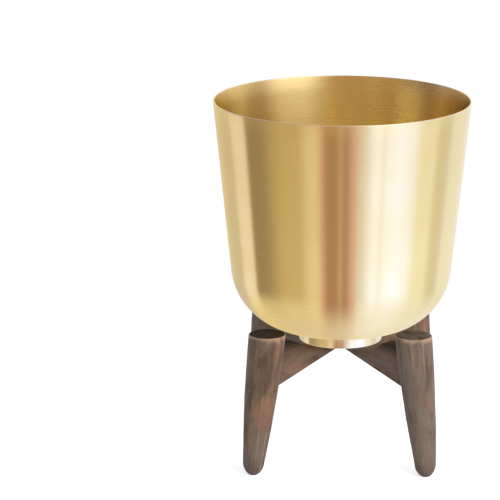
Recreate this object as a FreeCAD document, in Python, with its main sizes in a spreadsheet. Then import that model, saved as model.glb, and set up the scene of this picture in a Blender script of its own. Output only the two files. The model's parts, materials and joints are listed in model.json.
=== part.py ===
import FreeCAD, Part
import math
import os
import Sketcher
from FreeCAD import Placement, Rotation, Vector

# Planter with stand: a spun brass pot on a foot ring, set on a crossed wooden stand with four turned legs.
# Millimetres, +Z up, front towards -Y, origin on the floor under the middle of the pot.

doc = FreeCAD.newDocument("planter_with_stand")

# Driving dimensions: alias, size, what it measures
DIMENSIONS = [
    ("rim_diameter", 203.0, "pot mouth, outside"),
    ("pot_height", 184.0, "flat bottom to rim"),
    ("wall_taper", 5.9, "lean of the pot wall, degrees"),
    ("corner_radius", 52.5, "round between wall and flat bottom, outside"),
    ("sheet_thickness", 1.2, "brass sheet of the pot"),
    ("ring_height", 10.0, "foot ring, seat to pot bottom"),
    ("ring_wall", 2.0, "foot ring, thickness"),
    ("ring_inset", 2.2, "foot ring, inside the edge of the flat bottom"),
    ("ring_edge_round", 0.6, "foot ring, lower outer edge"),
    ("seat_height", 93.0, "floor to the seat under the foot ring"),
    ("rail_thickness", 16.0, "plank of the cross rails"),
    ("rail_web", 5.0, "wood under the seat at the middle of the cross"),
    ("arch_half_flat", 12.0, "half of the level stretch under the crossing"),
    ("underside_slope", 15.6, "fall of the rail underside to the leg, degrees"),
    ("boss_gap", 2.0, "pot bottom to the raised middle of the cross"),
    ("boss_clearance", 0.6, "foot ring bore to the raised middle"),
    ("seat_margin", 3.0, "seat outside the foot ring"),
    ("cove_radius", 24.0, "hollow from the seat up to the rail top"),
    ("lap_clearance", 0.1, "each side of the halving joint"),
    ("leg_rise", 18.7, "seat to the middle of the leg top"),
    ("leg_lean", 8.25, "splay of the legs, degrees"),
    ("leg_pot_gap", 2.8, "leg top to the round of the pot"),
    ("leg_top_radius", 14.7, "leg at its top"),
    ("leg_top_round", 0.9, "worn edge of the leg top"),
    ("leg_swell", 1.1, "belly of the leg side between top and ankle"),
    ("ankle_radius", 10.0, "leg where the rounded foot starts"),
    ("ankle_height", 18.0, "rounded foot, along the leg"),
    ("foot_swell", 1.7, "belly of the rounded foot"),
    ("foot_radius", 2.8, "blunt end of the foot"),
    ("foot_trim", 0.6, "length sawn off level with the floor"),
    ("housing_offset", 6.0, "leg axis to the floor of the rail housing"),
    ("housing_clearance", 0.1, "each side of the rail in its housing"),
    ("dowel_diameter", 6.0, "beech dowel"),
    ("dowel_length", 26.0, "half in the rail, half in the leg"),
    ("dowel_spacing", 13.0, "between the two dowels of a joint"),
    ("dowel_clearance", 0.1, "dowel to its hole"),
    ("dowel_end_gap", 0.5, "dowel end to the bottom of its hole"),
    ("cut_overrun", 5.0, "how far cutting profiles pass the wood"),
]

sizes = doc.addObject("Spreadsheet::Sheet", "Sizes")
for row, (alias, number, meaning) in enumerate(DIMENSIONS, start=1):
    sizes.set(f"A{row}", str(number))
    sizes.setAlias(f"A{row}", alias)
    sizes.set(f"B{row}", meaning)

# Sizes that follow from the driving ones: the pot sets the ring, the ring sets the cross, and the legs stand
# just clear of the pot's round.
LAYOUT = [
    ("flat_radius", "Sizes.rim_diameter / 2"
                    " - (Sizes.pot_height - Sizes.corner_radius) * tan(Sizes.wall_taper)"
                    " - Sizes.corner_radius / cos(Sizes.wall_taper)"),
    ("ring_radius", "Layout.flat_radius - Sizes.ring_inset"),
    ("ring_bore_radius", "Layout.ring_radius - Sizes.ring_wall"),
    ("pot_bottom", "Sizes.seat_height + Sizes.ring_height"),
    ("rail_top", "Layout.pot_bottom - Sizes.boss_gap"),
    ("rail_rise", "Sizes.ring_height - Sizes.boss_gap"),
    ("arch_height", "Sizes.seat_height - Sizes.rail_web"),
    ("lap_height", "(Layout.arch_height + Layout.rail_top) / 2"),
    ("lap_half_width", "Sizes.rail_thickness / 2 + Sizes.lap_clearance"),
    ("boss_half_length", "sqrt((Layout.ring_bore_radius - Sizes.boss_clearance) ^ 2"
                         " - (Sizes.rail_thickness / 2) ^ 2)"),
    ("seat_end", "Layout.ring_radius + Sizes.seat_margin"),
    ("cove_end", "Layout.seat_end"
                 " + sqrt(Sizes.cove_radius ^ 2 - (Sizes.cove_radius - Layout.rail_rise) ^ 2)"),
    ("leg_top_height", "Sizes.seat_height + Sizes.leg_rise"),
    ("leg_length", "Layout.leg_top_height / cos(Sizes.leg_lean)"),
    ("round_drop", "Sizes.ring_height + Sizes.corner_radius - Sizes.leg_rise"
                   " + Sizes.leg_top_radius * sin(Sizes.leg_lean)"),
    ("leg_inner_edge", "Layout.flat_radius"
                       " + sqrt((Sizes.corner_radius + Sizes.leg_pot_gap) ^ 2 - Layout.round_drop ^ 2)"),
    ("foot_place", "Layout.leg_inner_edge + Sizes.leg_top_radius * cos(Sizes.leg_lean)"
                   " + Layout.leg_length * sin(Sizes.leg_lean)"),
    ("housing_at_floor", "Layout.foot_place - Sizes.housing_offset / cos(Sizes.leg_lean)"),
    ("rail_end_top", "Layout.housing_at_floor - Layout.rail_top * tan(Sizes.leg_lean)"),
    ("rail_end_foot", "(Layout.housing_at_floor - tan(Sizes.leg_lean) * (Layout.arch_height"
                      " + Sizes.arch_half_flat * tan(Sizes.underside_slope)))"
                      " / (1 - tan(Sizes.leg_lean) * tan(Sizes.underside_slope))"),
    ("rail_end_height", "Layout.arch_height"
                        " - (Layout.rail_end_foot - Sizes.arch_half_flat) * tan(Sizes.underside_slope)"),
    ("dowel_height", "(Layout.rail_top + Layout.rail_end_height) / 2"),
    ("dowel_middle", "(Layout.rail_end_top + Layout.rail_end_foot) / 2"),
    ("dowel_reach", "Sizes.dowel_length / 2 + Sizes.dowel_end_gap"),
]

layout = doc.addObject("App::VarSet", "Layout")
for name, expression in LAYOUT:
    layout.addProperty("App::PropertyFloat", name, "Layout")
doc.recompute()
for name, expression in LAYOUT:
    layout.setExpression(name, expression)
doc.recompute()

# The legs stand on the diagonals: each corner lies to the right (+X) or left and to the rear (+Y) or front,
# and each rail runs through the middle to its corner from the one opposite.
CORNER_SIDES = {"front_left": (-1, -1), "front_right": (1, -1), "rear_right": (1, 1), "rear_left": (-1, 1)}
RAIL_CORNERS = {"lower": "rear_right", "upper": "rear_left"}
UPRIGHT = Vector(0, 0, 1)


def amount(expression):
    return float(sizes.evalExpression(expression))


def turn_to(corner):
    """Angle that turns the radial direction +X to a corner."""
    right, rear = CORNER_SIDES[corner]
    return math.degrees(math.atan2(rear, right))


def origin_plane(body, role):
    return next(feature for feature in body.Origin.OriginFeatures if feature.Role == role)


def new_body(label, turn=0.0, lift="0"):
    """A body turned about the pot's axis and raised to its height over the floor."""
    body = doc.addObject("PartDesign::Body", label)
    body.Label = label
    body.Placement = Placement(Vector(), Rotation(UPRIGHT, turn))
    body.setExpression("Placement.Base.z", lift)
    return body


def new_sketch(body, role, name):
    sketch = body.newObject("Sketcher::SketchObject", f"{body.Name}_{name}")
    sketch.AttachmentSupport = [(origin_plane(body, role), "")]
    sketch.MapMode = "FlatFace"
    return sketch


def constrain(sketch, constraint, expression):
    index = sketch.addConstraint(constraint)
    sketch.setExpression(f"Constraints[{index}]", expression)


def place_point(sketch, geometry, position, across, up):
    """Hold a point at its distances from the sketch's own axes."""
    for kind, expression, axis in (("DistanceX", across, -2), ("DistanceY", up, -1)):
        if expression == "0":
            sketch.addConstraint(Sketcher.Constraint("PointOnObject", geometry, position, axis))
        else:
            distance = Sketcher.Constraint(kind, -1, 1, geometry, position, amount(expression))
            constrain(sketch, distance, expression)


def draw_outline(sketch, corners, arcs=None):
    """Close an outline through corners given as expressions.

    arcs maps the number of an edge to its radius; a minus sign before the radius bends the edge to the left
    of its run instead of to the right.
    """
    arcs = arcs or {}
    points = [Vector(amount(across), amount(up), 0) for across, up in corners]
    ends = []
    for edge, start in enumerate(points):
        finish = points[(edge + 1) % len(points)]
        if edge not in arcs:
            geometry = sketch.addGeometry(Part.LineSegment(start, finish))
            ends.append((geometry, 1, 2))
            continue
        radius = amount(arcs[edge])
        run = finish - start
        height = abs(radius) - math.sqrt(radius ** 2 - (run.Length / 2) ** 2)
        right = Vector(run.y, -run.x, 0).normalize()
        crown = (start + finish) / 2 + right * math.copysign(height, radius)
        geometry = sketch.addGeometry(Part.Arc(start, crown, finish))
        forward = sketch.getPoint(geometry, 1).distanceToPoint(start) < run.Length / 2
        ends.append((geometry, 1, 2) if forward else (geometry, 2, 1))
    for edge, (geometry, first, last) in enumerate(ends):
        following, following_first, _ = ends[(edge + 1) % len(ends)]
        sketch.addConstraint(Sketcher.Constraint("Coincident", geometry, last, following, following_first))
        place_point(sketch, geometry, first, *corners[edge])
        if edge in arcs:
            bend = Sketcher.Constraint("Radius", geometry, abs(amount(arcs[edge])))
            constrain(sketch, bend, f"abs({arcs[edge]})")


def swell_radius(start, finish, swell):
    """Radius of the arc that stands a given swell proud of the straight run between two corners."""
    across = f"(({finish[0]}) - ({start[0]}))"
    up = f"(({finish[1]}) - ({start[1]}))"
    return f"({across} ^ 2 + {up} ^ 2) / (8 * {swell}) + {swell} / 2"


def revolve(body, sketch):
    turned = body.newObject("PartDesign::Revolution", f"{body.Name}_turned")
    turned.Profile = sketch
    turned.ReferenceAxis = (sketch, ["V_Axis"])
    turned.Angle = 360
    return turned


def cut_across(body, sketch, name, width):
    """Pocket of a given width, half to each side of the sketch."""
    pocket = body.newObject("PartDesign::Pocket", f"{body.Name}_{name}")
    pocket.Profile = sketch
    pocket.Midplane = True
    pocket.setExpression("Length", width)
    return pocket


def drill_dowel_holes(body, start, outward):
    """Two holes one above the other, from a plane inside the wood out through the joint's face."""
    sketch = new_sketch(body, "YZ_Plane", "dowel_hole_places")
    sketch.setExpression("AttachmentOffset.Base.z", start)
    for side in ("-", "+"):
        height = f"Layout.dowel_height {side} Sizes.dowel_spacing / 2"
        radius = "Sizes.dowel_diameter / 2 + Sizes.dowel_clearance"
        circle = sketch.addGeometry(Part.Circle(Vector(0, amount(height), 0), UPRIGHT, amount(radius)))
        place_point(sketch, circle, 3, "0", height)
        constrain(sketch, Sketcher.Constraint("Radius", circle, amount(radius)), radius)
    holes = body.newObject("PartDesign::Pocket", f"{body.Name}_dowel_holes")
    holes.Profile = sketch
    holes.Type = "ThroughAll"
    holes.Reversed = outward
    return holes


def make_pot_shell():
    """Spun pot: tapered wall, generous round, flat bottom, one even sheet thickness with a plain lip."""
    body = new_body("pot_shell", lift="Layout.pot_bottom")
    inner_round = "(Sizes.corner_radius - Sizes.sheet_thickness)"
    corners = [
        ("0", "0"),
        ("Layout.flat_radius", "0"),
        ("Layout.flat_radius + Sizes.corner_radius * cos(Sizes.wall_taper)",
         "Sizes.corner_radius * (1 - sin(Sizes.wall_taper))"),
        ("Sizes.rim_diameter / 2", "Sizes.pot_height"),
        ("Sizes.rim_diameter / 2 - Sizes.sheet_thickness / cos(Sizes.wall_taper)", "Sizes.pot_height"),
        (f"Layout.flat_radius + {inner_round} * cos(Sizes.wall_taper)",
         f"Sizes.corner_radius - {inner_round} * sin(Sizes.wall_taper)"),
        ("Layout.flat_radius", "Sizes.sheet_thickness"),
        ("0", "Sizes.sheet_thickness"),
    ]
    profile = new_sketch(body, "XZ_Plane", "profile")
    draw_outline(profile, corners, {1: "Sizes.corner_radius", 5: f"-{inner_round}"})
    revolve(body, profile)
    return body


def make_foot_ring():
    """Plain brass collar soldered under the flat bottom."""
    body = new_body("foot_ring", lift="Sizes.seat_height")
    corners = [
        ("Layout.ring_bore_radius", "0"),
        ("Layout.ring_radius - Sizes.ring_edge_round", "0"),
        ("Layout.ring_radius", "Sizes.ring_edge_round"),
        ("Layout.ring_radius", "Sizes.ring_height"),
        ("Layout.ring_bore_radius", "Sizes.ring_height"),
    ]
    profile = new_sketch(body, "XZ_Plane", "profile")
    draw_outline(profile, corners, {1: "Sizes.ring_edge_round"})
    revolve(body, profile)
    return body


def make_leg(corner):
    """Turned leg, splayed outwards, sawn level at the floor and housed for the rail end."""
    body = new_body(f"leg_{corner}", turn_to(corner))
    corners = [
        ("0", "-Sizes.foot_trim"),
        ("Sizes.foot_radius", "-Sizes.foot_trim"),
        ("Sizes.ankle_radius", "Sizes.ankle_height"),
        ("Sizes.leg_top_radius", "Layout.leg_length - Sizes.leg_top_round"),
        ("Sizes.leg_top_radius - Sizes.leg_top_round", "Layout.leg_length"),
        ("0", "Layout.leg_length"),
    ]
    arcs = {
        1: swell_radius(corners[1], corners[2], "Sizes.foot_swell"),
        2: swell_radius(corners[2], corners[3], "Sizes.leg_swell"),
        3: "Sizes.leg_top_round",
    }
    profile = new_sketch(body, "XZ_Plane", "profile")
    profile.setExpression("AttachmentOffset.Base.x", "Layout.foot_place")
    profile.setExpression("AttachmentOffset.Rotation.Angle", "Sizes.leg_lean")
    draw_outline(profile, corners, arcs)
    revolve(body, profile)

    cut_half_width = "(Sizes.foot_radius + Sizes.cut_overrun)"
    floor_line = new_sketch(body, "XZ_Plane", "floor_line")
    draw_outline(floor_line, [
        (f"Layout.foot_place - {cut_half_width}", "-Sizes.cut_overrun"),
        (f"Layout.foot_place + {cut_half_width}", "-Sizes.cut_overrun"),
        (f"Layout.foot_place + {cut_half_width}", "0"),
        (f"Layout.foot_place - {cut_half_width}", "0"),
    ])
    cut_across(body, floor_line, "floor_cut", f"2 * {cut_half_width}")

    rail_end = new_sketch(body, "XZ_Plane", "rail_end")
    draw_outline(rail_end, [
        ("Sizes.arch_half_flat", "Layout.arch_height"),
        ("Layout.rail_end_foot", "Layout.rail_end_height"),
        ("Layout.rail_end_top", "Layout.rail_top"),
        ("Sizes.arch_half_flat", "Layout.rail_top"),
    ])
    cut_across(body, rail_end, "housing", "Sizes.rail_thickness + 2 * Sizes.housing_clearance")
    drill_dowel_holes(body, "Layout.dowel_middle + Layout.dowel_reach", outward=False)
    return body


def make_cross_rail(place, corner):
    """Plank on edge: arched below, coved above round the seat, halved at the middle over the other plank."""
    body = new_body(f"cross_rail_{place}", turn_to(corner))
    right_half = [
        ("Layout.boss_half_length", "Layout.rail_top"),
        ("Layout.boss_half_length", "Sizes.seat_height"),
        ("Layout.seat_end", "Sizes.seat_height"),
        ("Layout.cove_end", "Layout.rail_top"),
        ("Layout.rail_end_top", "Layout.rail_top"),
        ("Layout.rail_end_foot", "Layout.rail_end_height"),
        ("Sizes.arch_half_flat", "Layout.arch_height"),
    ]
    left_half = [(f"-{across}", up) for across, up in reversed(right_half)]
    right_cove = 2
    left_cove = len(right_half) + len(left_half) - right_cove - 2
    outline = new_sketch(body, "XZ_Plane", "outline")
    coves = {right_cove: "Sizes.cove_radius", left_cove: "Sizes.cove_radius"}
    draw_outline(outline, right_half + left_half, coves)
    plank = body.newObject("PartDesign::Pad", f"{body.Name}_plank")
    plank.Profile = outline
    plank.Midplane = True
    plank.setExpression("Length", "Sizes.rail_thickness")

    far_edge = {
        "lower": "Layout.rail_top + Sizes.cut_overrun",
        "upper": "Layout.arch_height - Sizes.cut_overrun",
    }
    notch = new_sketch(body, "XZ_Plane", "halving")
    draw_outline(notch, [
        ("-Layout.lap_half_width", "Layout.lap_height"),
        ("Layout.lap_half_width", "Layout.lap_height"),
        ("Layout.lap_half_width", far_edge[place]),
        ("-Layout.lap_half_width", far_edge[place]),
    ])
    cut_across(body, notch, "lap", "Sizes.rail_thickness + 2 * Sizes.cut_overrun")

    holes = drill_dowel_holes(body, "Layout.dowel_middle - Layout.dowel_reach", outward=True)
    both_ends = body.newObject("PartDesign::Mirrored", f"{body.Name}_both_ends")
    both_ends.Originals = [holes]
    both_ends.MirrorPlane = (origin_plane(body, "YZ_Plane"), [""])
    body.Tip = both_ends
    return body


def make_dowels(corner):
    """The two dowels of one joint, one above the other along the rail."""
    dowels = []
    for place, side in (("low", "-"), ("high", "+")):
        dowel = doc.addObject("Part::Cylinder", f"dowel_{corner}_{place}")
        dowel.Placement = Placement(Vector(), Rotation(UPRIGHT, Vector(1, 0, 0)))
        dowel.setExpression("Radius", "Sizes.dowel_diameter / 2")
        dowel.setExpression("Height", "Sizes.dowel_length")
        dowel.setExpression("Placement.Base.x", "Layout.dowel_middle - Sizes.dowel_length / 2")
        dowel.setExpression("Placement.Base.z", f"Layout.dowel_height {side} Sizes.dowel_spacing / 2")
        dowels.append(dowel)
    pair = doc.addObject("Part::Compound", f"dowels_{corner}")
    pair.Label = f"dowels_{corner}"
    pair.Links = dowels
    pair.Placement = Placement(Vector(), Rotation(UPRIGHT, turn_to(corner)))
    return pair


subparts = [make_pot_shell(), make_foot_ring()]
subparts += [make_leg(corner) for corner in CORNER_SIDES]
subparts += [make_cross_rail(place, corner) for place, corner in RAIL_CORNERS.items()]
subparts += [make_dowels(corner) for corner in CORNER_SIDES]

doc.recompute()
for item in doc.Objects:
    if "Invalid" in item.State or "Error" in item.State:
        raise RuntimeError(f"{item.Label} did not rebuild: {item.State}")
for subpart in subparts:
    if subpart.Shape.isNull() or not subpart.Shape.isValid():
        raise RuntimeError(f"{subpart.Label} has no valid shape")

os.makedirs("parts", exist_ok=True)
for subpart in subparts:
    subpart.Shape.exportStep(f"parts/{subpart.Label}.step")
    print(subpart.Label, len(subpart.Shape.Solids), round(subpart.Shape.Volume, 1))
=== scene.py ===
import json
import math
from collections import namedtuple

import bmesh
import bpy
from bpy.props import FloatProperty, FloatVectorProperty, IntProperty, PointerProperty
from mathutils import Matrix, Vector


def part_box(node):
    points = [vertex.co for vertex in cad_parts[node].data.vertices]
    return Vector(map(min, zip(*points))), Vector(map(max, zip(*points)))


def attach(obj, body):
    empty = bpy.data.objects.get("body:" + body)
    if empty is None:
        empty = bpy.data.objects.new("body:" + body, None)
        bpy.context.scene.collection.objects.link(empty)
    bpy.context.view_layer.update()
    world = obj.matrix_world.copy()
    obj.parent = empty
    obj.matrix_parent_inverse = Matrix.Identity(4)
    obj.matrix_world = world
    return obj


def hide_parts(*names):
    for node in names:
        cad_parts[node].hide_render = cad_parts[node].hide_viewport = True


bl_info = {
    "name": "Planter with stand",
    "version": (1, 0, 0),
    "blender": (4, 5, 0),
    "location": "3D View > Sidebar > Planter",
    "description": "Brushed brass pot on a crossed walnut stand, modelled piece by piece on its frame",
    "category": "Object",
}

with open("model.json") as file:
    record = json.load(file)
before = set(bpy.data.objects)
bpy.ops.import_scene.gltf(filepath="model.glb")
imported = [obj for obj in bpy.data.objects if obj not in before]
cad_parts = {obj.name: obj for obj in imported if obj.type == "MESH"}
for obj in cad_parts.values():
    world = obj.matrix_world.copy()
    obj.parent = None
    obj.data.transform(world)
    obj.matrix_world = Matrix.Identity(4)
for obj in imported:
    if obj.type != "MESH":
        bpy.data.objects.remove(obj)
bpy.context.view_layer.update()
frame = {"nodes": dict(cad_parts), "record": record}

POT_LOW, POT_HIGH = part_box("pot_shell")
RING_LOW, RING_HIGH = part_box("foot_ring")
RAIL_LOW, RAIL_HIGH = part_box("cross_rail_lower")
FOOT = {mount["name"]: mount["pos_m"] for mount in frame["record"]["mounts"]}
CORNERS = ("front_left", "front_right", "rear_right", "rear_left")
RAIL_CORNERS = {"lower": "rear_right", "upper": "rear_left"}

# Points nearer to each other than this, in metres, count as one.
TINY = 0.00001
# Each leg and rail has its own grain, and each leg its own tool marks: steps between them, in metres.
LEG_GRAIN_STEP = Vector((0.31, 0.17, 0.43))
RAIL_GRAIN_STEP = Vector((0.57, 0.29, 0.71))
TOOL_MARK_STEP = 0.5
# How strong the marks on the wood are, from 0 to 1.
CORNER_WEAR = 0.58
# The rim of the leg tops is lighter: worn, with a painted highlight on it.
TOP_EDGE_WEAR_AND_HIGHLIGHT = 0.85
DUSTY_LEG = 0.8
DUSTY_RAIL = 0.85
# How far they reach: the worn share of a flat from its corner, the dusty share of a leg from its foot.
WORN_FLAT = 0.5
DUSTY_SHIN = 0.45


def screen_colour(red, green, blue):
    """Linear colour of a screen colour given in steps of 0 to 255."""
    steps = (red / 255, green / 255, blue / 255)
    return tuple(step / 12.92 if step <= 0.04045 else ((step + 0.055) / 1.055) ** 2.4 for step in steps)


def length(name, description, default):
    return FloatProperty(
        name=name, description=description, default=default, unit="LENGTH", precision=4)


def spot(name, description, default):
    return FloatVectorProperty(
        name=name, description=description, default=default, unit="LENGTH", subtype="TRANSLATION")


def count(name, description, default, least):
    return IntProperty(name=name, description=description, default=default, min=least)


def angle(name, description, degrees):
    return FloatProperty(
        name=name, description=description, default=math.radians(degrees), subtype="ANGLE")


def colour(name, description, default):
    return FloatVectorProperty(
        name=name, description=description, default=default, subtype="COLOR", min=0, max=1)


def share(name, description, default):
    return FloatProperty(
        name=name, description=description, default=default, subtype="FACTOR", min=0, max=1)


class PotSizes(bpy.types.PropertyGroup):
    """Sizes of the spun pot and its foot ring."""
    rim_radius: length("Rim radius", "Outside of the mouth", POT_HIGH[0])
    rim_height: length("Rim height", "Rim over the floor", POT_HIGH[2])
    bottom_height: length("Bottom height", "Flat bottom over the floor", POT_LOW[2])
    wall_taper: angle("Wall taper", "Lean of the wall", 5.9)
    corner_radius: length("Corner radius", "Round between wall and flat bottom", 0.0525)
    sheet_thickness: length("Sheet thickness", "Brass sheet of the pot", 0.0012)
    lip_round: length("Lip round", "Sanded edge of the mouth", 0.00045)
    ring_radius: length("Ring radius", "Outside of the foot ring", RING_HIGH[0])
    ring_wall: length("Ring wall", "Thickness of the foot ring", 0.002)
    ring_edge_round: length("Ring edge round", "Edges of the foot ring", 0.0006)
    segments: count("Segments", "Steps round the pot", 256, least=32)
    round_steps: count("Round steps", "Steps up the round", 24, least=4)
    wall_steps: count("Wall steps", "Steps up the wall", 10, least=1)


class StandSizes(bpy.types.PropertyGroup):
    """Sizes of the legs and the crossed rails."""
    leg_top_height: length("Leg top height", "Middle of the leg top over the floor", 0.1117)
    leg_lean: angle("Leg lean", "Splay of the legs", 8.25)
    leg_top_radius: length("Leg top radius", "Leg at its top", 0.0147)
    leg_top_round: length("Leg top round", "Worn edge of the leg top", 0.0009)
    leg_swell: length("Leg swell", "Belly of the leg side", 0.0011)
    ankle_radius: length("Ankle radius", "Leg where the rounded foot starts", 0.0086)
    ankle_height: length("Ankle height", "Rounded foot along the leg", 0.0105)
    foot_trim: length("Foot trim", "Length sawn off level with the floor", 0.0006)
    facets: count("Facets", "Hand-worked flats round a leg", 10, least=6)
    foot_steps: count("Foot steps", "Steps up the rounded foot", 8, least=2)
    side_steps: count("Side steps", "Steps up the leg side", 14, least=2)
    unevenness: length("Unevenness", "How far the tool marks stray", 0.0007)
    tool_mark_size: length("Tool mark size", "Reach of one tool mark", 0.02)
    rail_thickness: length("Rail thickness", "Plank of the cross rails", 0.016)
    rail_end_reach: length("Rail end reach", "Middle of the cross to the rail end, at its foot", 0.08066)
    rail_top_reach: length("Rail top reach", "Middle of the cross to the rail end, at its top", 0.0760)
    arch_height: length("Arch height", "Underside of the crossing over the floor", 0.088)
    arch_half_flat: length("Arch half flat", "Half of the level stretch under the crossing", 0.012)
    boss_half_length: length("Boss half length", "Half of the raised middle inside the ring", 0.02926)
    seat_end: length("Seat end", "Middle of the cross to the outer end of the seat", 0.03593)
    cove_radius: length("Cove radius", "Hollow from the seat up to the rail top", 0.024)
    cove_steps: count("Cove steps", "Steps up the cove", 12, least=2)
    lap_clearance: length("Lap clearance", "Each side of the halving joint", 0.0001)
    rail_edge_round: length("Rail edge round", "Softened edges of the rails", 0.0007)


class Finishes(bpy.types.PropertyGroup):
    """Colours of the brass and the wood."""
    brass: colour("Brass", "Clean brushed brass", (0.91, 0.79, 0.385))
    brass_aged: colour("Aged brass", "Brass where lacquer has warmed", (0.88, 0.74, 0.33))
    brass_handled: colour("Handled brass", "Dulled brass, near the mouth and inside", (0.78, 0.65, 0.29))
    handled_low: length("Handled low", "Height where the dulled brass starts", 0.14)
    handled_high: length("Handled high", "Height where the brass is dullest", 0.30)
    brushed_low: length("Brushed low", "Height under which brush strokes hardly show", 0.12)
    brushed_high: length("Brushed high", "Height over which brush strokes show in full", 0.17)
    # Paler brass: bare sanded brass on the foot ring, and a painted highlight along the lip.
    brass_sanded_and_highlight: colour("Sanded brass", "Bare brass of the lip and the foot ring", (0.97, 0.92, 0.70))
    brass_edge: colour("Brass edge", "Tint of brass seen along its surface", (0.98, 0.93, 0.78))
    # Painted highlight: the lip is coloured paler brass between these heights.
    lip_highlight_low: length("Lip low", "Height where the sanded lip starts", POT_HIGH[2] - 0.0008)
    lip_highlight_high: length("Lip high", "Height over which the lip is sanded in full", POT_HIGH[2] - 0.0003)
    ring_low: length("Ring low", "Height under which the ring's finish is full", RING_HIGH[2] - 0.0004)
    ring_high: length("Ring high", "Height where the ring's finish ends", RING_HIGH[2])
    brass_roughness: share("Brass roughness", "Satin of the brushed brass", 0.26)
    brass_brushing: share("Brass brushing", "How far the brushing draws out reflections", 0.97)
    walnut_deep: colour("Deep walnut", "Stain gathered in the grain", screen_colour(88, 69, 53))
    walnut: colour("Walnut", "Main colour of the stain", screen_colour(120, 97, 78))
    walnut_red: colour("Red walnut", "Patches where the wood shows through", screen_colour(150, 110, 86))
    # Lighter walnut for worn corners and streaks, and for the painted highlight round the leg tops' rim.
    walnut_worn_and_highlight: colour("Worn walnut", "Rubbed edges and streaks", screen_colour(198, 166, 134))
    walnut_grey: colour("Grey walnut", "Dusty stain towards the feet", screen_colour(120, 107, 97))
    # Dark colour of the cut leg tops: end grain that takes up the stain, with painted shade from the pot
    # over them. It also paints the shade on the rails and the darker feet.
    end_grain_and_shade: colour("End grain", "Sawn leg tops, soaked dark", screen_colour(46, 39, 33))
    # Painted shade: the rails are darkened towards their tops, under the pot, between these two heights.
    shade_low: length("Stain low", "Height on the rails where the stain starts to gather", 0.089)
    shade_high: length("Stain high", "Height on the rails where the stain is darkest", 0.103)
    # The feet are coloured darker towards the floor, up to this height.
    dark_foot_height: length("Scuff height", "Height up to which the feet are scuffed dark", 0.024)
    beech: colour("Beech", "Plain dowel wood", screen_colour(205, 170, 128))
    beech_fleck: colour("Beech fleck", "Flecks in the dowel wood", screen_colour(168, 126, 86))


class StageSettings(bpy.types.PropertyGroup):
    """Camera, floor and light."""
    camera_distance: length("Camera distance", "In front of the pot's axis", 2.2)
    camera_height: length("Camera height", "Over the floor", 0.72567)
    camera_tilt: angle("Camera tilt", "Below the horizon", 14.2984)
    camera_turn: angle("Camera turn", "To the left of the pot", 1.8845)
    camera_lens: FloatProperty(name="Camera lens", description="In millimetres", default=205.55)
    floor_radius: length("Floor radius", "Where the floor has faded out", 0.46)
    floor_inner_radius: length("Floor inner radius", "Where the floor starts to fade", 0.16)
    floor_white: share("Floor white", "Paleness of the floor", 0.8)
    floor_glow: share("Floor glow", "White that the floor adds to its own light", 0.6)
    key_strength: FloatProperty(name="Key strength", description="Soft light in watts", default=25.0)
    key_size: length("Key size", "Side of the soft light", 0.9)
    key_place: spot("Key place", "Where the soft light hangs", (1.0, -1.3, 1.1))
    key_aim: spot("Key aim", "What the soft light points at", (0, 0, 0.12))


class Wire:
    """An output of a node; arithmetic on it adds the Math nodes that it stands for."""

    def __init__(self, graph, socket):
        self.graph = graph
        self.socket = socket

    def math(self, operation, *values):
        sockets = dict(enumerate(values))
        return self.graph.node("ShaderNodeMath", {"operation": operation}, sockets)

    def __add__(self, other):
        return self.math("ADD", self, other)

    def __sub__(self, other):
        return self.math("SUBTRACT", self, other)

    def __rsub__(self, other):
        return self.math("SUBTRACT", other, self)

    def __mul__(self, other):
        return self.math("MULTIPLY", self, other)

    def __abs__(self):
        return self.math("ABSOLUTE", self)

    __radd__ = __add__
    __rmul__ = __mul__


class Graph:
    """A node tree that is filled from expressions."""

    def __init__(self, tree):
        self.tree = tree
        tree.nodes.clear()

    def node(self, kind, settings=None, sockets=None, out=0):
        """Add a node, set it up, feed its sockets, and give the wire of one of its outputs."""
        made = self.tree.nodes.new(kind)
        for name, value in (settings or {}).items():
            setattr(made, name, value)
        for key, value in (sockets or {}).items():
            self.feed(made.inputs[key], value)
        return Wire(self, made.outputs[out]) if made.outputs else None

    def feed(self, socket, value):
        if isinstance(value, Wire):
            self.tree.links.new(value.socket, socket)
        elif socket.type == "RGBA":
            socket.default_value = (*value, 1.0)
        else:
            socket.default_value = value

    def place(self):
        """Place on the piece, in metres."""
        return self.node("ShaderNodeTexCoord", out="Object")

    def stretch(self, vector, by):
        return self.node("ShaderNodeVectorMath", {"operation": "MULTIPLY"}, {0: vector, 1: by})

    def dot(self, vector, direction):
        sockets = {0: vector, 1: direction}
        return self.node("ShaderNodeVectorMath", {"operation": "DOT_PRODUCT"}, sockets, "Value")

    def grain(self, vector, scale=1.0, detail=3.0, roughness=0.55, distortion=0.0):
        return self.node("ShaderNodeTexNoise", sockets={
            "Vector": vector,
            "Scale": scale,
            "Detail": detail,
            "Roughness": roughness,
            "Distortion": distortion,
        })

    def ramp(self, value, low, high):
        """Smooth step of a value from low to high."""
        sockets = {"Value": value, "From Min": low, "From Max": high}
        return self.node("ShaderNodeMapRange", {"interpolation_type": "SMOOTHSTEP"}, sockets)

    def mix(self, factor, first, second):
        """Mix of two colours."""
        return self.node("ShaderNodeMix", {"data_type": "RGBA"}, {0: factor, 6: first, 7: second}, 2)

    def bump(self, height, strength, distance):
        sockets = {"Height": height, "Strength": strength, "Distance": distance}
        return self.node("ShaderNodeBump", sockets=sockets)

    def surface(self, shader):
        self.node("ShaderNodeOutputMaterial", sockets={"Surface": shader})


def new_material(name):
    material = bpy.data.materials.new(name)
    material.use_nodes = True
    return material, Graph(material.node_tree)


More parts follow.
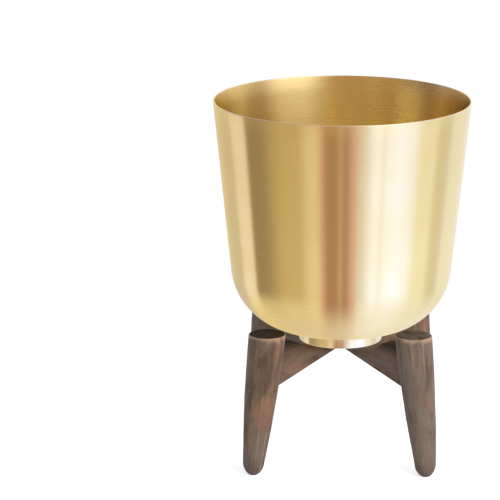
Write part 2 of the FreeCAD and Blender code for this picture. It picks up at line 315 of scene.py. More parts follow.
def spun_brass(finish):
    """Satin brass: brushed round the pot, warm clouds in the lacquer, stray spin lines, and a painted
    highlight along the lip.
    """
    material, graph = new_material("spun_brass")
    place = graph.place()
    hairlines = graph.grain(graph.stretch(place, (6, 6, 3400)), detail=2.0)
    strokes = graph.grain(graph.stretch(place, (4, 4, 900)), detail=3.0, roughness=0.65)
    spin_lines = graph.ramp(graph.grain(graph.stretch(place, (3, 3, 420)), detail=1.0), 0.60, 0.74)
    clouds = graph.grain(place, 16.0, detail=2.0)
    inside = graph.node("ShaderNodeAttribute", {"attribute_name": "inside"}, out="Fac")
    turning_rings = graph.ramp(graph.grain(graph.stretch(place, (2, 2, 110)), detail=2.0), 0.54, 0.68)
    base = graph.mix(graph.ramp(clouds, 0.35, 0.75), finish.brass, finish.brass_aged)
    base = graph.mix(inside * turning_rings * 0.45, base, finish.brass_handled)
    rise = graph.dot(place, (0, 0, 1))
    handled = graph.ramp(rise, finish.handled_low, finish.handled_high)
    base = graph.mix(handled * 0.6, base, finish.brass_handled)
    # Painted highlight: paler brass along the lip.
    lip = graph.ramp(rise, finish.lip_highlight_low, finish.lip_highlight_high)
    base = graph.mix(lip * 0.6, base, finish.brass_sanded_and_highlight)
    ring = graph.ramp(rise, finish.ring_high, finish.ring_low)
    base = graph.mix(ring * 0.4, base, finish.brass_sanded_and_highlight)
    roughness = finish.brass_roughness + 0.04 * ring + 0.05 * (clouds - 0.5)
    roughness = roughness + 0.06 * (hairlines - 0.5) + 0.04 * (strokes - 0.5)
    brushed = 0.05 + 0.95 * graph.ramp(rise, finish.brushed_low, finish.brushed_high)
    height = (0.55 * hairlines + 0.8 * strokes - 0.25 * spin_lines) * (1 - 0.75 * inside) * brushed
    shader = graph.node("ShaderNodeBsdfPrincipled", sockets={
        "Base Color": base,
        "Metallic": 1.0,
        "Roughness": roughness,
        "Anisotropic": finish.brass_brushing,
        "Anisotropic Rotation": 0.25,
        "Specular Tint": finish.brass_edge,
        "Normal": graph.bump(height, 0.075, 0.00008),
    })
    graph.surface(shader)
    return material


def stained_walnut(finish):
    """Dark stain over hand-worked walnut, lighter on its worn edges; grain runs along each piece. A
    painted highlight runs round the leg tops' rim, painted shade darkens the leg tops and the rails under
    the pot, and the feet are darker towards the floor.
    """
    material, graph = new_material("stained_walnut")
    along = graph.node("ShaderNodeAttribute", {"attribute_name": "grain_place"}, out="Vector")
    wear_and_highlight = graph.node("ShaderNodeAttribute", {"attribute_name": "wear_and_highlight"}, out="Fac")
    end_grain_and_shade = graph.node("ShaderNodeAttribute", {"attribute_name": "end_grain_and_shade"}, out="Fac")
    dust = graph.node("ShaderNodeAttribute", {"attribute_name": "dust"}, out="Fac")
    shade_under_pot = graph.node("ShaderNodeAttribute", {"attribute_name": "shade_under_pot"}, out="Fac")
    fibres = graph.grain(graph.stretch(along, (800, 800, 60)), detail=4.0, roughness=0.6)
    bands = graph.grain(graph.stretch(along, (110, 110, 30)), detail=4.0, distortion=1.2)
    patches = graph.grain(graph.stretch(along, (60, 60, 38)), detail=3.0)
    streaks = graph.grain(graph.stretch(along, (95, 95, 55)), detail=3.0, roughness=0.5)
    tone = graph.mix(graph.ramp(bands, 0.28, 0.60), finish.walnut_deep, finish.walnut)
    tone = graph.mix(graph.ramp(patches, 0.48, 0.68) * 0.50, tone, finish.walnut_red)
    tone = graph.mix(graph.ramp(fibres, 0.50, 0.32) * 0.30, tone, finish.walnut_deep)
    tone = graph.mix(dust * graph.ramp(bands, 0.2, 0.7), tone, finish.walnut_grey)
    height_on_stand = graph.dot(graph.place(), (0, 0, 1))
    # Painted shade: the rails darken towards their tops, where they pass under the pot.
    painted_rail_shade = shade_under_pot * graph.ramp(height_on_stand, finish.shade_low, finish.shade_high)
    # Lighter worn corners and streaks, and a painted highlight round the leg tops' rim.
    rubbed_and_highlight = graph.ramp(wear_and_highlight + 1.3 * (streaks - 0.5), 0.38, 1.00)
    tone = graph.mix(rubbed_and_highlight * 0.55, tone, finish.walnut_worn_and_highlight)
    roughness = 0.52 + 0.18 * (fibres - 0.5) - 0.10 * rubbed_and_highlight
    height = 0.6 * fibres + 0.5 * bands + 0.3 * streaks
    normal = graph.bump(height, 0.35, 0.0004)
    side = graph.node("ShaderNodeBsdfPrincipled", sockets={
        "Base Color": tone,
        "Roughness": roughness,
        "Specular IOR Level": 0.12,
        "Normal": normal,
    })
    pores = graph.grain(graph.stretch(along, (900, 900, 0)), detail=3.0)
    # Dark colour of the cut tops: end grain with painted shade; it also paints the shade on the rails and
    # the darker feet.
    cut_and_shade_tone = graph.mix(graph.ramp(pores, 0.45, 0.75) * 0.5, finish.end_grain_and_shade, finish.walnut)
    dusty = dust * end_grain_and_shade * graph.ramp(patches, 0.30, 0.62) * 0.75
    cut_and_shade_tone = graph.mix(dusty, cut_and_shade_tone, finish.walnut_grey)
    sawn_and_shaded = graph.node("ShaderNodeBsdfPrincipled", sockets={
        "Base Color": cut_and_shade_tone,
        "Roughness": 0.85 + 0.2 * (pores - 0.5),
        "Specular IOR Level": 0.05,
        "Normal": normal,
    })
    # The feet are coloured darker towards the floor.
    foot_darkening = graph.ramp(height_on_stand, finish.dark_foot_height, 0.0)
    # The dark end-grain shader takes the leg tops, the painted shade on the rails and the darker feet.
    soaked_and_shaded = end_grain_and_shade + 0.9 * painted_rail_shade + 0.25 * foot_darkening
    graph.surface(graph.node("ShaderNodeMixShader", sockets={0: soaked_and_shaded, 1: side, 2: sawn_and_shaded}))
    return material


def plain_beech(finish):
    """Pale dowel wood with short dark flecks."""
    material, graph = new_material("plain_beech")
    place = graph.place()
    flecks = graph.grain(graph.stretch(place, (700, 700, 900)), detail=2.0)
    bands = graph.grain(place, 160.0, detail=3.0)
    tone = graph.mix(graph.ramp(flecks, 0.55, 0.70) * 0.7, finish.beech, finish.beech_fleck)
    tone = graph.mix(graph.ramp(bands, 0.40, 0.75) * 0.3, tone, finish.beech_fleck)
    shader = graph.node("ShaderNodeBsdfPrincipled", sockets={
        "Base Color": tone,
        "Roughness": 0.55 + 0.2 * (bands - 0.5),
        "Normal": graph.bump(flecks + bands, 0.3, 0.0002),
    })
    graph.surface(shader)
    return material


def deselect_all():
    bpy.ops.object.select_all(action="DESELECT")


def edit(piece):
    """Open one piece, and no other, in edit mode."""
    deselect_all()
    piece.select_set(True)
    bpy.context.view_layer.objects.active = piece
    bpy.ops.object.mode_set(mode="EDIT")


def close_edit():
    bpy.ops.object.mode_set(mode="OBJECT")


def select_points(piece, test):
    """In edit mode, select the points whose place passes a test, and what lies between them."""
    bpy.ops.mesh.select_mode(type="VERT")
    bpy.ops.mesh.select_all(action="DESELECT")
    shape = bmesh.from_edit_mesh(piece.data)
    for point in shape.verts:
        point.select = test(point.co)
    shape.select_flush_mode()
    bmesh.update_edit_mesh(piece.data)


def select_edges(piece, test):
    """In edit mode, select the edges whose two ends pass a test, and nothing else."""
    bpy.ops.mesh.select_mode(type="EDGE")
    bpy.ops.mesh.select_all(action="DESELECT")
    shape = bmesh.from_edit_mesh(piece.data)
    for edge in shape.edges:
        edge.select = test(edge.verts[0].co, edge.verts[1].co)
    bmesh.update_edit_mesh(piece.data)


def apply_modifier(piece, kind, **settings):
    """Add a modifier, set it and apply it."""
    bpy.context.view_layer.objects.active = piece
    modifier = piece.modifiers.new(kind.lower(), kind)
    for name, value in settings.items():
        setattr(modifier, name, value)
    bpy.ops.object.modifier_apply(modifier=modifier.name)


def apply_place(piece):
    """Move an object's place and turn into its mesh."""
    deselect_all()
    piece.select_set(True)
    bpy.context.view_layer.objects.active = piece
    bpy.ops.object.transform_apply(location=True, rotation=True, scale=True)


def smooth(piece, degrees):
    deselect_all()
    piece.select_set(True)
    bpy.context.view_layer.objects.active = piece
    bpy.ops.object.shade_smooth_by_angle(angle=math.radians(degrees))


def grow_rings(name, profile, segments, floor, cap=False):
    """Turned shape about Z: rings of points, grown one from the next along (radius, height) pairs."""
    deselect_all()
    radius, height = profile[0]
    fill = "NGON" if floor else "NOTHING"
    start = (0, 0, height)
    bpy.ops.mesh.primitive_circle_add(vertices=segments, radius=radius, fill_type=fill, location=start)
    piece = bpy.context.object
    piece.name = piece.data.name = name
    apply_place(piece)
    edit(piece)
    bpy.ops.mesh.select_mode(type="EDGE")
    bpy.ops.mesh.select_all(action="SELECT")
    for next_radius, next_height in profile[1:]:
        rise = (0, 0, next_height - height)
        spread = next_radius / radius
        bpy.ops.mesh.extrude_edges_move(TRANSFORM_OT_translate={"value": rise})
        bpy.ops.transform.resize(value=(spread, spread, 1), center_override=(0, 0, next_height))
        radius, height = next_radius, next_height
    if cap:
        bpy.ops.mesh.edge_face_add()
    bpy.ops.mesh.select_all(action="SELECT")
    bpy.ops.mesh.normals_make_consistent(inside=False)
    close_edit()
    return piece


def seat_piece(piece, material, body, node):
    """Give a finished piece its material, and let it stand for its node and ride on its body."""
    piece.data.materials.clear()
    piece.data.materials.append(material)
    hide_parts(node)
    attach(piece, body)


def material_named(name, make):
    """A finish is made once and then shared."""
    return bpy.data.materials.get(name) or make(bpy.context.scene.planter_finishes)


def arc_point(centre, radius, turn):
    """Point (radius, height) on a round, turned from straight down towards the outside."""
    return centre[0] + radius * math.sin(turn), centre[1] - radius * math.cos(turn)


def pot_profile(pot):
    """Outside of the pot from the edge of its flat bottom to its rim."""
    rise = pot.rim_height - pot.bottom_height - pot.corner_radius
    wall_run = rise * math.tan(pot.wall_taper)
    flat = pot.rim_radius - wall_run - pot.corner_radius / math.cos(pot.wall_taper)
    centre = (flat, pot.bottom_height + pot.corner_radius)
    sweep = math.pi / 2 - pot.wall_taper
    turns = [sweep * step / pot.round_steps for step in range(pot.round_steps + 1)]
    points = [arc_point(centre, pot.corner_radius, turn) for turn in turns]
    foot = Vector(points[-1])
    rim = Vector((pot.rim_radius, pot.rim_height))
    points += [tuple(foot.lerp(rim, step / pot.wall_steps)) for step in range(1, pot.wall_steps + 1)]
    return points


class PLANTER_OT_pot(bpy.types.Operator):
    """Spin the brass pot: flat bottom, generous round, tapered wall and a thin sanded lip"""
    bl_idname = "planter.pot"
    bl_label = "Brass pot"

    def execute(self, context):
        pot = context.scene.planter_pot
        piece = grow_rings("brass_pot", pot_profile(pot), pot.segments, floor=True)
        apply_modifier(piece, "SOLIDIFY", thickness=pot.sheet_thickness, offset=-1, use_even_offset=True)
        self.round_lip(piece, pot)
        smooth(piece, 40)
        self.mark_inside(piece, pot)
        seat_piece(piece, material_named("spun_brass", spun_brass), "pot", "pot_shell")
        return {"FINISHED"}

    def round_lip(self, piece, pot):
        """Level the rim, and round the edges that run along it."""
        half_sheet = pot.sheet_thickness / 2
        nearly_rim = pot.rim_height - half_sheet

        def along_rim(first, second):
            on_rim = min(first.z, second.z) > nearly_rim
            return on_rim and abs(first.xy.length - second.xy.length) < half_sheet

        edit(piece)
        select_points(piece, lambda place: place.z > nearly_rim)
        bpy.ops.transform.resize(value=(1, 1, 0), center_override=(0, 0, pot.rim_height))
        select_edges(piece, along_rim)
        bpy.ops.mesh.bevel(offset=pot.lip_round, segments=3, affect="EDGES")
        close_edit()

    def mark_inside(self, piece, pot):
        """Store which points lie on the inner wall: their normals face the middle of the mouth."""
        inside = piece.data.attributes.new("inside", "FLOAT", "POINT")
        mouth = Vector((0, 0, pot.rim_height))
        for index, point in enumerate(piece.data.vertices):
            inside.data[index].value = float(point.normal.dot(mouth - point.co) > 0)


class PLANTER_OT_foot_ring(bpy.types.Operator):
    """Roll the brass foot ring that is soldered under the pot"""
    bl_idname = "planter.foot_ring"
    bl_label = "Foot ring"

    def execute(self, context):
        pot = context.scene.planter_pot
        profile = [(pot.ring_radius, RING_LOW[2]), (pot.ring_radius, RING_HIGH[2])]
        piece = grow_rings("brass_foot_ring", profile, pot.segments, floor=False)
        apply_modifier(piece, "SOLIDIFY", thickness=pot.ring_wall, offset=-1)
        apply_modifier(piece, "BEVEL", width=pot.ring_edge_round, segments=3, limit_method="ANGLE")
        smooth(piece, 40)
        seat_piece(piece, material_named("spun_brass", spun_brass), "pot", "foot_ring")
        return {"FINISHED"}


def bowed(start, finish, swell, steps):
    """Points from start to finish on a line that swells out by a given amount at its middle."""
    start, finish = Vector(start), Vector(finish)
    run = finish - start
    outward = Vector((run.y, -run.x)).normalized()
    points = []
    for step in range(steps + 1):
        along = step / steps
        points.append(tuple(start + run * along + outward * (4 * swell * along * (1 - along))))
    return points


def leg_profile(stand):
    """Side of a leg along its own axis, from its rounded foot to an overlong top, sawn off later."""
    top = stand.leg_top_height / math.cos(stand.leg_lean)
    ankle = (stand.ankle_radius, stand.ankle_height)
    depth = stand.ankle_height + stand.foot_trim
    points = []
    for step in range(1, stand.foot_steps + 1):
        turn = math.pi / 2 * step / stand.foot_steps
        points.append((stand.ankle_radius * math.sin(turn), stand.ankle_height - depth * math.cos(turn)))
    points += bowed(ankle, (stand.leg_top_radius, top), stand.leg_swell, stand.side_steps)[1:]
    points.append((stand.leg_top_radius, top + stand.leg_top_radius))
    return points


def corner_turn(corner):
    """Angle from +X to a corner, from the place of its foot."""
    right, rear = FOOT[f"foot_{corner}"][:2]
    return math.atan2(rear, right)


def write_wood_marks(piece, along_axis, shift, marks):
    """Store, at each point, its place in the plank that the grain comes from, and its marks."""
    mesh = piece.data
    mesh.attributes.new("grain_place", "FLOAT_VECTOR", "POINT")
    for name in ("wear_and_highlight", "end_grain_and_shade", "dust", "shade_under_pot"):
        mesh.attributes.new(name, "FLOAT", "POINT")
    turned = [(along_axis + 1) % 3, (along_axis + 2) % 3, along_axis]
    for index, point in enumerate(mesh.vertices):
        place = point.co
        in_plank = Vector([place[axis] for axis in turned]) + shift
        mesh.attributes["grain_place"].data[index].vector = in_plank
        for name, value in marks(place).items():
            mesh.attributes[name].data[index].value = value


def rail_marks(dust):
    """Painted shade under the pot all along a rail, and its dust."""
    def marks(place):
        return {"shade_under_pot": 1.0, "dust": dust}
    return marks


def leg_marks(stand, least_dust):
    """Wear along the soft corners and dust towards the foot; some legs are dustier than others."""
    step = 2 * math.pi / stand.facets

    def marks(place):
        from_corner = abs((math.atan2(place.x, place.y) + step / 2) % step - step / 2) / (step / 2)
        return {
            "wear_and_highlight": CORNER_WEAR * max(0.0, 1 - from_corner / WORN_FLAT),
            "dust": max(least_dust, 1 - place.z / (DUSTY_SHIN * stand.leg_top_height)),
        }
    return marks


class PLANTER_OT_legs(bpy.types.Operator):
    """Shape one leg by hand, then copy it to the four corners, splayed and sawn level"""
    bl_idname = "planter.legs"
    bl_label = "Legs"

    def execute(self, context):
        stand = context.scene.planter_stand
        pattern = self.shape_leg(stand)
        walnut = material_named("stained_walnut", stained_walnut)
        for number, corner in enumerate(CORNERS):
            deselect_all()
            pattern.select_set(True)
            context.view_layer.objects.active = pattern
            bpy.ops.object.duplicate(linked=False)
            leg = context.object
            leg.name = leg.data.name = f"walnut_leg_{corner}"
            self.roughen(leg, stand, number)
            marks = leg_marks(stand, DUSTY_LEG * (number % 2))
            write_wood_marks(leg, 2, LEG_GRAIN_STEP * (number + 1), marks)
            self.stand_up(leg, stand, corner)
            smooth(leg, 50)
            leg.visible_glossy = False
            seat_piece(leg, walnut, "stand", f"leg_{corner}")
        bpy.data.objects.remove(pattern)
        return {"FINISHED"}

    def shape_leg(self, stand):
        """A leg with soft flats, upright on its own axis; it starts fuller than the flats leave it."""
        fuller = 1 / math.cos(math.pi / (2 * stand.facets)) ** 2
        profile = [(radius * fuller, height) for radius, height in leg_profile(stand)]
        leg = grow_rings("leg_pattern", profile, stand.facets, floor=True, cap=True)

        def up_the_leg(first, second):
            return first.xy.normalized().dot(second.xy.normalized()) > 0.99

        edit(leg)
        select_edges(leg, up_the_leg)
        bpy.ops.mesh.bevel(offset_type="PERCENT", offset_pct=30, segments=4, affect="EDGES")
        close_edit()
        return leg

    def roughen(self, leg, stand, number):
        """Uneven tool marks, different on each leg."""
        clouds = bpy.data.textures.new(f"tool_marks_{number}", "CLOUDS")
        clouds.noise_scale = stand.tool_mark_size
        leg.location = (TOOL_MARK_STEP * number, 0, 0)
        apply_modifier(
            leg, "DISPLACE", texture=clouds, texture_coords="GLOBAL", strength=stand.unevenness)
        leg.location = (0, 0, 0)

    def stand_up(self, leg, stand, corner):
        """Splay a leg, set it on its corner, and saw its foot and its top level."""
        foot = Vector(FOOT[f"foot_{corner}"])
        turn = Matrix.Rotation(corner_turn(corner), 4, "Z")
        leg.matrix_world = Matrix.Translation(foot) @ turn @ Matrix.Rotation(-stand.leg_lean, 4, "Y")
        apply_place(leg)
        top = stand.leg_top_height
        level = {"plane_no": (0, 0, 1), "use_fill": True}

        def on_top(first, second):
            return max(abs(first.z - top), abs(second.z - top)) < TINY

        edit(leg)
        bpy.ops.mesh.select_all(action="SELECT")
        bpy.ops.mesh.bisect(plane_co=(0, 0, 0), clear_inner=True, threshold=TINY, **level)
        bpy.ops.mesh.select_all(action="SELECT")
        bpy.ops.mesh.bisect(plane_co=(0, 0, top), clear_outer=True, **level)
        select_edges(leg, on_top)
        bpy.ops.mesh.bevel(offset=stand.leg_top_round, segments=3, affect="EDGES")
        close_edit()
        self.mark_top(leg, stand)

    def mark_top(self, leg, stand):
        """Worn edge with a painted highlight, and end grain with painted shade, of the level-cut top."""
        mesh = leg.data
        for index, point in enumerate(mesh.vertices):
            below = stand.leg_top_height - point.co.z
            # Worn rim of the top, with a painted highlight.
            if below < 1.2 * stand.leg_top_round:
                mesh.attributes["wear_and_highlight"].data[index].value = TOP_EDGE_WEAR_AND_HIGHLIGHT
            # End grain, with painted shade, on the top face.
            if below < 0.05 * stand.leg_top_round:
                mesh.attributes["end_grain_and_shade"].data[index].value = 1.0


def shape_strip(name, stations, thickness):
    """Plank along X: a box cut at stations of (reach, bottom, top), each pulled to its heights."""
    deselect_all()
    first, last = stations[0][0], stations[-1][0]
    low, high = stations[0][1:]
    bpy.ops.mesh.primitive_cube_add(size=1, location=((first + last) / 2, 0, (low + high) / 2))
    piece = bpy.context.object
    piece.name = piece.data.name = name
    piece.scale = (last - first, thickness, high - low)
    apply_place(piece)
    edit(piece)
    for reach, _, _ in stations[1:-1]:
        bpy.ops.mesh.select_all(action="SELECT")
        bpy.ops.mesh.bisect(plane_co=(reach, 0, 0), plane_no=(1, 0, 0))
    middle = (low + high) / 2
    near = min(later[0] - sooner[0] for sooner, later in zip(stations, stations[1:])) / 4
    for reach, bottom, top in stations:
        select_points(piece, lambda place: abs(place.x - reach) < near and place.z < middle)
        bpy.ops.transform.translate(value=(0, 0, bottom - low))
        select_points(piece, lambda place: abs(place.x - reach) < near and place.z > middle)
        bpy.ops.transform.translate(value=(0, 0, top - high))
    close_edit()
    return piece


def cut(piece, cutter):
    """Cut a shape out of a piece and throw the cutter away."""
    apply_modifier(piece, "BOOLEAN", object=cutter, operation="DIFFERENCE", solver="EXACT")
    bpy.data.objects.remove(cutter)


class PLANTER_OT_cross_rails(bpy.types.Operator):
    """Saw the two arched planks, cove them round the seat and halve them over each other"""
    bl_idname = "planter.cross_rails"
    bl_label = "Cross rails"

    def execute(self, context):
        stand = context.scene.planter_stand
        walnut = material_named("stained_walnut", stained_walnut)
        for number, (level, corner) in enumerate(RAIL_CORNERS.items()):
            rail = self.saw_plank(stand, f"walnut_rail_{level}")
            for side in (-1, 1):
                cut(rail, self.seat_cutter(stand, side))
            cut(rail, self.lap_cutter(stand, level))
            self.tidy_faces(rail)
            marks = rail_marks(DUSTY_RAIL * number)
            write_wood_marks(rail, 0, RAIL_GRAIN_STEP * (number + 1), marks)
            rail.rotation_euler = (0, 0, corner_turn(corner))
            apply_place(rail)
            smooth(rail, 30)
            rail.visible_glossy = False
            seat_piece(rail, walnut, "stand", f"cross_rail_{level}")
        return {"FINISHED"}

    def saw_plank(self, stand, name):
        """Arched plank with leaning ends and softened edges."""
        end = (stand.rail_end_reach, RAIL_LOW[2], RAIL_HIGH[2])
        arch = (stand.arch_half_flat, stand.arch_height, RAIL_HIGH[2])
        mirrored = [(-reach, low, high) for reach, low, high in (end, arch)]
        plank = shape_strip(name, mirrored + [arch, end], stand.rail_thickness)
        edit(plank)
        middle = (stand.arch_height + RAIL_HIGH[2]) / 2
        past_arch = stand.arch_half_flat * 2
        for side in (-1, 1):
            select_points(plank, lambda place: place.z > middle and place.x * side > past_arch)
            lean = side * (stand.rail_top_reach - stand.rail_end_reach)
            bpy.ops.transform.translate(value=(lean, 0, 0))
        close_edit()
        apply_modifier(plank, "BEVEL", width=stand.rail_edge_round, segments=3, limit_method="ANGLE")
        return plank

    def seat_cutter(self, stand, side):
        """Seat beside the raised middle, and the cove that climbs from it to the rail top."""
        above = RAIL_HIGH[2] + stand.rail_thickness
        rise = RAIL_HIGH[2] - RING_LOW[2]
        run = math.sqrt(stand.cove_radius ** 2 - (stand.cove_radius - rise) ** 2)
        stations = [(stand.boss_half_length, RING_LOW[2], above)]
        for step in range(stand.cove_steps + 1):
            reach = run * step / stand.cove_steps
            climb = stand.cove_radius - math.sqrt(stand.cove_radius ** 2 - reach ** 2)
            stations.append((stand.seat_end + reach, RING_LOW[2] + climb, above))
        cutter = shape_strip("seat_cutter", stations, 2 * stand.rail_thickness)
        if side < 0:
            cutter.rotation_euler = (0, 0, math.pi)
            apply_place(cutter)
        return cutter

    def lap_cutter(self, stand, level):
        """Half of the crossing: the upper half of the lower rail, the lower half of the upper one."""
        half_width = stand.rail_thickness / 2 + stand.lap_clearance
        lap = (stand.arch_height + RAIL_HIGH[2]) / 2
        above = RAIL_HIGH[2] + stand.rail_thickness
        below = stand.arch_height - stand.rail_thickness
        low, high = {"lower": (lap, above), "upper": (below, lap)}[level]
        stations = [(-half_width, low, high), (half_width, low, high)]
        return shape_strip("lap_cutter", stations, 2 * stand.rail_thickness)

    def tidy_faces(self, rail):
        """Merge the points that the cuts left on top of each other."""
        edit(rail)
        bpy.ops.mesh.select_all(action="SELECT")
        bpy.ops.mesh.remove_doubles(threshold=TINY)
        bpy.ops.mesh.normals_make_consistent(inside=False)
        close_edit()


class PLANTER_OT_dowels(bpy.types.Operator):
    """Give the hidden dowels of the rail joints their plain beech"""
    bl_idname = "planter.dowels"
    bl_label = "Dowels"

    def execute(self, context):
        beech = material_named("plain_beech", plain_beech)
        for corner in CORNERS:
            dowels = frame["nodes"][f"dowels_{corner}"]
            dowels.visible_glossy = False
            for slot in dowels.material_slots:
                slot.material = beech
        return {"FINISHED"}


# What stands round the pot and shows in the brass: azimuth from the camera's side, with right positive,
# half width and softness, all in degrees, and colour. The room has a radius of 1, and the azimuths of the
# walls and of the front screen are taken from points this far behind the pot.
WALLS_FROM_BEHIND = 0.63
FRONT_FROM_BEHIND = 1.25
Card = namedtuple("Card", "name azimuth half_width softness colour")
ROOM = (0.68, 0.63, 0.78)
WALL_CARDS = (
    Card("right rear wall", 130, 50, 9, (0.96, 0.98, 1.26)),
    Card("left screen", -38.4, 26.6, 2.6, (0.455, 0.295, 0.10)),
    Card("left screen in shade", -59, 16, 17, (0.07, 0.0, 0.0)),
    Card("left wall", -73.0, 9.4, 1.2, (1.04, 0.96, 1.26)),
    Card("left screen in the light", -16, 5.4, 9.6, (0.88, 0.75, 0.70)),
    Card("right wall", 52.4, 14, 9.5, (1.06, 1.03, 1.08)),
    Card("right screen", 68.1, 5.2, 7.5, (0.73, 0.63, 0.47)),
    Card("right window", 30.7, 15.3, 9.3, (1.22, 1.40, 2.85)),
    Card("clear pane", 34, 3, 6, (1.25, 1.48, 3.50)),
    Card("window bar", 23.8, 1.1, 2.0, (0.93, 0.98, 1.50)),
)
FRONT_CARDS = (
    Card("rosy edge of the front screen", -1.3, 7.6, 1.7, (0.79, 0.38, 0.45)),
    Card("front screen", -1.8, 5.2, 2.0, (0.35, 0.14, 0.095)),
    Card("gap in the front screen", -0.4, 0.45, 0.85, (0.82, 0.56, 0.40)),
)
CEILING = (0.525, 0.325, 0.235)
CEILING_CARDS = (
    Card("high window", 48.5, 25, 36, (1.91, 1.72, 1.62)),
    Card("far wall", 180, 60, 40, (1.00, 0.92, 0.94)),
    Card("right side of the ceiling", 114, 26, 40, (1.03, 0.91, 0.83)),
    Card("left side of the ceiling", -105, 44, 40, (0.25, 0.19, 0.28)),
)
WARM_FLOOR = (0.97, 0.86, 0.62)
WARM_FLOOR_NEAR = (0.98, 0.90, 0.98)
COOL_FLOOR = (1.04, 1.08, 1.55)
SOFT_LIGHT_LEFT = (0.48, 0.57, 0.70)
SOFT_LIGHT_RIGHT = (0.66, 0.62, 0.57)
# Where one part of the room gives way to the next, by how far a ray rises, goes right or goes rearwards.
WARM_TO_COOL = (-0.2, 0.4)
LEFT_TO_RIGHT = (-0.7, 0.7)
FLOOR_TO_NEAR_FLOOR = (-0.66, -0.84)
WALLS_TO_FLOOR = (-0.45, -0.59)
WALLS_TO_PALE_TOP = (-0.33, -0.24)
WALLS_TO_CEILING = (0.0, 0.2)
FRONT_TO_WALLS = (-0.80, -0.15)
FLOOR_SHARE = 0.88
PALE_TOP_SHARE = 0.55
FRONT_FADE_SHARE = 0.85


def show_to(graph, *rays):
    """1 for a ray of one of the given kinds, and 0 for any other."""
    kinds = [graph.node("ShaderNodeLightPath", out=f"Is {kind} Ray") for kind in rays]
    return graph.ramp(sum(kinds), 0.0, 1.0)


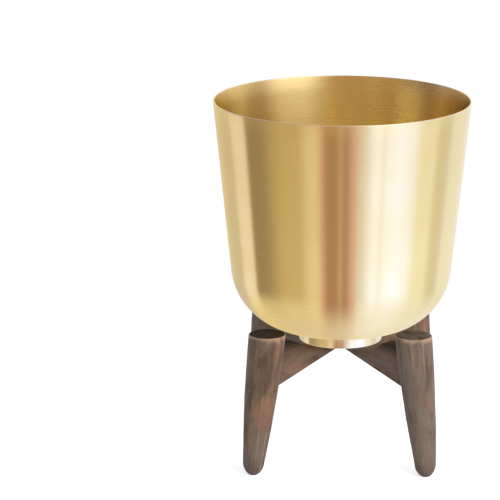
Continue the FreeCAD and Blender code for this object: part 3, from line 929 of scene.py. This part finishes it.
class PLANTER_OT_stage(bpy.types.Operator):
    """Set the camera, the pale floor, the soft light and the room that the brass reflects"""
    bl_idname = "planter.stage"
    bl_label = "Stage"

    def execute(self, context):
        stage = context.scene.planter_stage
        context.scene.view_settings.view_transform = "Standard"
        self.set_camera(context, stage)
        self.lay_floor(stage)
        self.set_room(context)
        self.hang_key_light(context, stage)
        return {"FINISHED"}

    def set_camera(self, context, stage):
        lens = bpy.data.cameras.new("photo_camera")
        lens.lens = stage.camera_lens
        camera = bpy.data.objects.new("photo_camera", lens)
        camera.location = (0, -stage.camera_distance, stage.camera_height)
        camera.rotation_euler = (math.pi / 2 - stage.camera_tilt, 0, stage.camera_turn)
        context.collection.objects.link(camera)
        context.scene.camera = camera

    def lay_floor(self, stage):
        """White disc that takes the shadow and fades into the white room."""
        deselect_all()
        bpy.ops.mesh.primitive_circle_add(vertices=96, radius=stage.floor_radius, fill_type="NGON")
        floor = bpy.context.object
        floor.name = "floor"
        material, graph = new_material("pale_floor")
        matt = graph.node("ShaderNodeBsdfDiffuse", sockets={"Color": (stage.floor_white,) * 3})
        glow = graph.mix(show_to(graph, "Camera", "Transmission"), (0, 0, 0), (stage.floor_glow,) * 3)
        lit = graph.node("ShaderNodeEmission", sockets={"Color": glow, "Strength": 1.0})
        paper = graph.node("ShaderNodeAddShader", sockets={0: matt, 1: lit})
        reach = graph.node("ShaderNodeVectorMath", {"operation": "LENGTH"}, {0: graph.place()}, "Value")
        fade = graph.ramp(reach, stage.floor_inner_radius, stage.floor_radius)
        clear = graph.node("ShaderNodeBsdfTransparent")
        graph.surface(graph.node("ShaderNodeMixShader", sockets={0: fade, 1: paper, 2: clear}))
        floor.data.materials.append(material)
        floor.visible_glossy = False

    def set_room(self, context):
        """White room for the camera; screens and a window stand round it for the brass and the light."""
        world = bpy.data.worlds.new("white_room")
        world.use_nodes = True
        context.scene.world = world
        graph = Graph(world.node_tree)
        ray = graph.node("ShaderNodeTexCoord", out="Generated")
        height = graph.dot(ray, (0, 0, 1))
        sideways = graph.dot(ray, (1, 0, 0))
        rearwards = graph.dot(ray, (0, 1, 0))
        warm_floor = graph.mix(graph.ramp(height, *FLOOR_TO_NEAR_FLOOR), WARM_FLOOR, WARM_FLOOR_NEAR)
        floor = graph.mix(graph.ramp(sideways, *WARM_TO_COOL), warm_floor, COOL_FLOOR)
        wall_ray = self.from_behind(graph, ray, WALLS_FROM_BEHIND)
        walls = self.hang_cards(graph, wall_ray, ROOM, WALL_CARDS)
        walls = graph.mix(graph.ramp(height, *WALLS_TO_FLOOR) * FLOOR_SHARE, walls, floor)
        front_ray = self.from_behind(graph, ray, FRONT_FROM_BEHIND)
        front = self.hang_cards(graph, front_ray, walls, FRONT_CARDS)
        walls = graph.mix(graph.ramp(rearwards, *FRONT_TO_WALLS) * FRONT_FADE_SHARE, front, walls)
        walls = graph.mix(graph.ramp(height, *WALLS_TO_PALE_TOP) * PALE_TOP_SHARE, walls, floor)
        ceiling = self.hang_cards(graph, ray, CEILING, CEILING_CARDS)
        room = graph.mix(graph.ramp(height, *WALLS_TO_CEILING), walls, ceiling)
        soft_light = graph.mix(graph.ramp(sideways, *LEFT_TO_RIGHT), SOFT_LIGHT_LEFT, SOFT_LIGHT_RIGHT)
        room = graph.mix(show_to(graph, "Diffuse"), room, soft_light)
        seen = graph.mix(show_to(graph, "Camera", "Transmission"), room, (1, 1, 1))
        background = graph.node("ShaderNodeBackground", sockets={"Color": seen, "Strength": 1.0})
        graph.node("ShaderNodeOutputWorld", sockets={"Surface": background})

    def from_behind(self, graph, ray, way):
        """Direction of the place where a ray meets the room, from a point some way behind the pot."""
        return graph.node("ShaderNodeVectorMath", {"operation": "ADD"}, {0: ray, 1: (0, -way, 0)})

    def hang_cards(self, graph, ray, plain, cards):
        """Colour that a ray meets on a plain wall with cards on it, each over the one before."""
        met = plain
        for card in cards:
            azimuth = math.radians(card.azimuth)
            ahead = graph.dot(ray, (math.sin(azimuth), -math.cos(azimuth), 0))
            aside = abs(graph.dot(ray, (math.cos(azimuth), math.sin(azimuth), 0)))
            away = aside.math("ARCTAN2", aside, ahead)
            outer = math.radians(card.half_width + card.softness / 2)
            inner = math.radians(card.half_width - card.softness / 2)
            met = graph.mix(graph.ramp(away, outer, inner), met, card.colour)
        return met

    def hang_key_light(self, context, stage):
        """Soft light from the upper right, in front; in the brass the window stands for it."""
        light = bpy.data.lights.new("key_light", "AREA")
        light.energy = stage.key_strength
        light.size = stage.key_size
        key = bpy.data.objects.new("key_light", light)
        key.location = stage.key_place
        aim = Vector(stage.key_aim) - key.location
        key.rotation_euler = aim.to_track_quat("-Z", "Y").to_euler()
        key.visible_glossy = False
        context.collection.objects.link(key)


OPERATORS = (
    PLANTER_OT_pot,
    PLANTER_OT_foot_ring,
    PLANTER_OT_legs,
    PLANTER_OT_cross_rails,
    PLANTER_OT_dowels,
    PLANTER_OT_stage,
)
SETTINGS = {
    "planter_pot": PotSizes,
    "planter_stand": StandSizes,
    "planter_finishes": Finishes,
    "planter_stage": StageSettings,
}


class PLANTER_PT_panel(bpy.types.Panel):
    """Sizes, finishes and buttons of the planter"""
    bl_idname = "PLANTER_PT_panel"
    bl_label = "Planter with stand"
    bl_space_type = "VIEW_3D"
    bl_region_type = "UI"
    bl_category = "Planter"

    def draw(self, context):
        for operator in OPERATORS:
            self.layout.operator(operator.bl_idname)
        for name, group in SETTINGS.items():
            box = self.layout.box()
            box.label(text=group.__doc__)
            for setting in group.__annotations__:
                box.prop(getattr(context.scene, name), setting)


def register():
    for group in SETTINGS.values():
        bpy.utils.register_class(group)
    for name, group in SETTINGS.items():
        setattr(bpy.types.Scene, name, PointerProperty(type=group))
    for operator in OPERATORS:
        bpy.utils.register_class(operator)
    bpy.utils.register_class(PLANTER_PT_panel)


def unregister():
    bpy.utils.unregister_class(PLANTER_PT_panel)
    for operator in reversed(OPERATORS):
        bpy.utils.unregister_class(operator)
    for name, group in SETTINGS.items():
        delattr(bpy.types.Scene, name)
        bpy.utils.unregister_class(group)


def main():
    register()
    bpy.ops.planter.pot()
    bpy.ops.planter.foot_ring()
    bpy.ops.planter.legs()
    bpy.ops.planter.cross_rails()
    bpy.ops.planter.dowels()
    bpy.ops.planter.stage()


if __name__ == "__main__":
    main()
